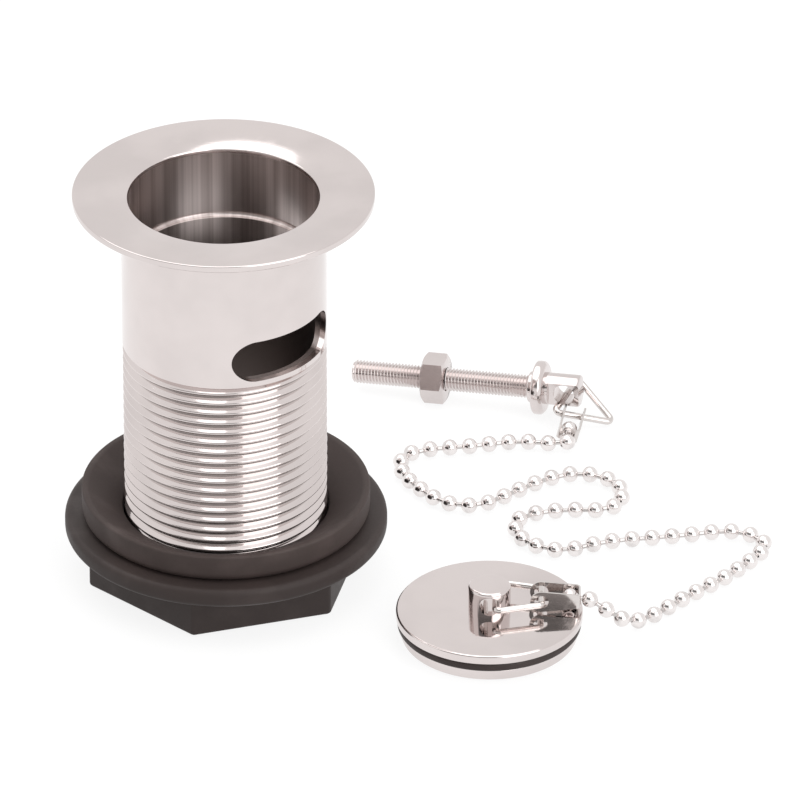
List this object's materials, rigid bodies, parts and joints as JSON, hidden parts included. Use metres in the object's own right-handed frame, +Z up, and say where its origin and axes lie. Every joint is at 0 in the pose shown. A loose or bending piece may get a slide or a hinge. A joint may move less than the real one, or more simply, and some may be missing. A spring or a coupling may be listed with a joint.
{
  "type": "plug and chain basin waste",
  "caption": "Flanged basin waste with overflow slots, rubber washer and flanged backnut, with a sealed plug on a ball chain and a threaded chain stay.",
  "frame": {"origin": "where the axis of the waste meets the floor, at the end of its tail", "axes": "+Z up along the axis of the waste, +X towards the chain and plug, +Y away from the viewer"},
  "size_m": [0.1457, 0.1218, 0.088],
  "materials": {
    "turned_chrome": "polished chrome plate",
    "wire_chrome": "plated wire",
    "strip_chrome": "plated strip",
    "ball_chrome": "plated balls",
    "pin_chrome": "plated pins",
    "washer_rubber": "matt black rubber",
    "seal_rubber": "black rubber",
    "black_plastic": "moulded black plastic"
  },
  "bodies": {
    "waste": {"waste_body": "turned_chrome", "chain_beads": "ball_chrome", "chain_pins": "pin_chrome", "stay_strap": "strip_chrome", "plug_strap": "strip_chrome"},
    "washer": {"rubber_washer": "washer_rubber"},
    "nut": {"backnut": "black_plastic"},
    "plug_shackle": {"plug_link": "wire_chrome"},
    "plug": {"plug_disc": "turned_chrome", "plug_seal": "seal_rubber", "plug_post": "turned_chrome"},
    "stay_ring": {"stay_link": "wire_chrome"},
    "stay": {"stay_bolt": "turned_chrome"},
    "stay_hexagon": {"stay_nut": "turned_chrome"}
  },
  "joints": [
    {"name": "washer_travel", "type": "slide", "parent": "waste", "child": "washer", "axis": [0, 0, 1], "range_m": [0, 0.04048]},
    {"name": "backnut_turn", "type": "hinge", "parent": "washer", "child": "nut", "pos_m": [0, 0, 0], "axis": [0, 0, 1], "range_deg": [0, 6310]},
    {"name": "plug_link_swing", "type": "hinge", "parent": "waste", "child": "plug_shackle", "pos_m": [0.0646, -0.028, 0.00915], "axis": [0, 1, 0], "range_deg": [0, 70]},
    {"name": "plug_tilt", "type": "hinge", "parent": "plug_shackle", "child": "plug", "pos_m": [0.054, -0.028, 0.00925], "axis": [0, 1, 0], "range_deg": [0, 95]},
    {"name": "stay_link_swing", "type": "hinge", "parent": "waste", "child": "stay_ring", "pos_m": [0.07212, 0.05567, 0.00288], "axis": [0.9636, 0.0937, -0.2506], "range_deg": [0, 50]},
    {"name": "stay_swing", "type": "hinge", "parent": "stay_ring", "child": "stay", "pos_m": [0.0707, 0.0611, 0.00598], "axis": [0.247, 0.969, 0], "range_deg": [-45, 80]},
    {"name": "stay_nut_travel", "type": "slide", "parent": "stay", "child": "stay_hexagon", "axis": [-0.9681, 0.2468, -0.0436], "range_m": [-0.0177, 0.0154]}
  ],
  "couplings": [
    {"joint": "washer_travel", "follows": "backnut_turn", "m_per_rad": 0.00036749}
  ]
}
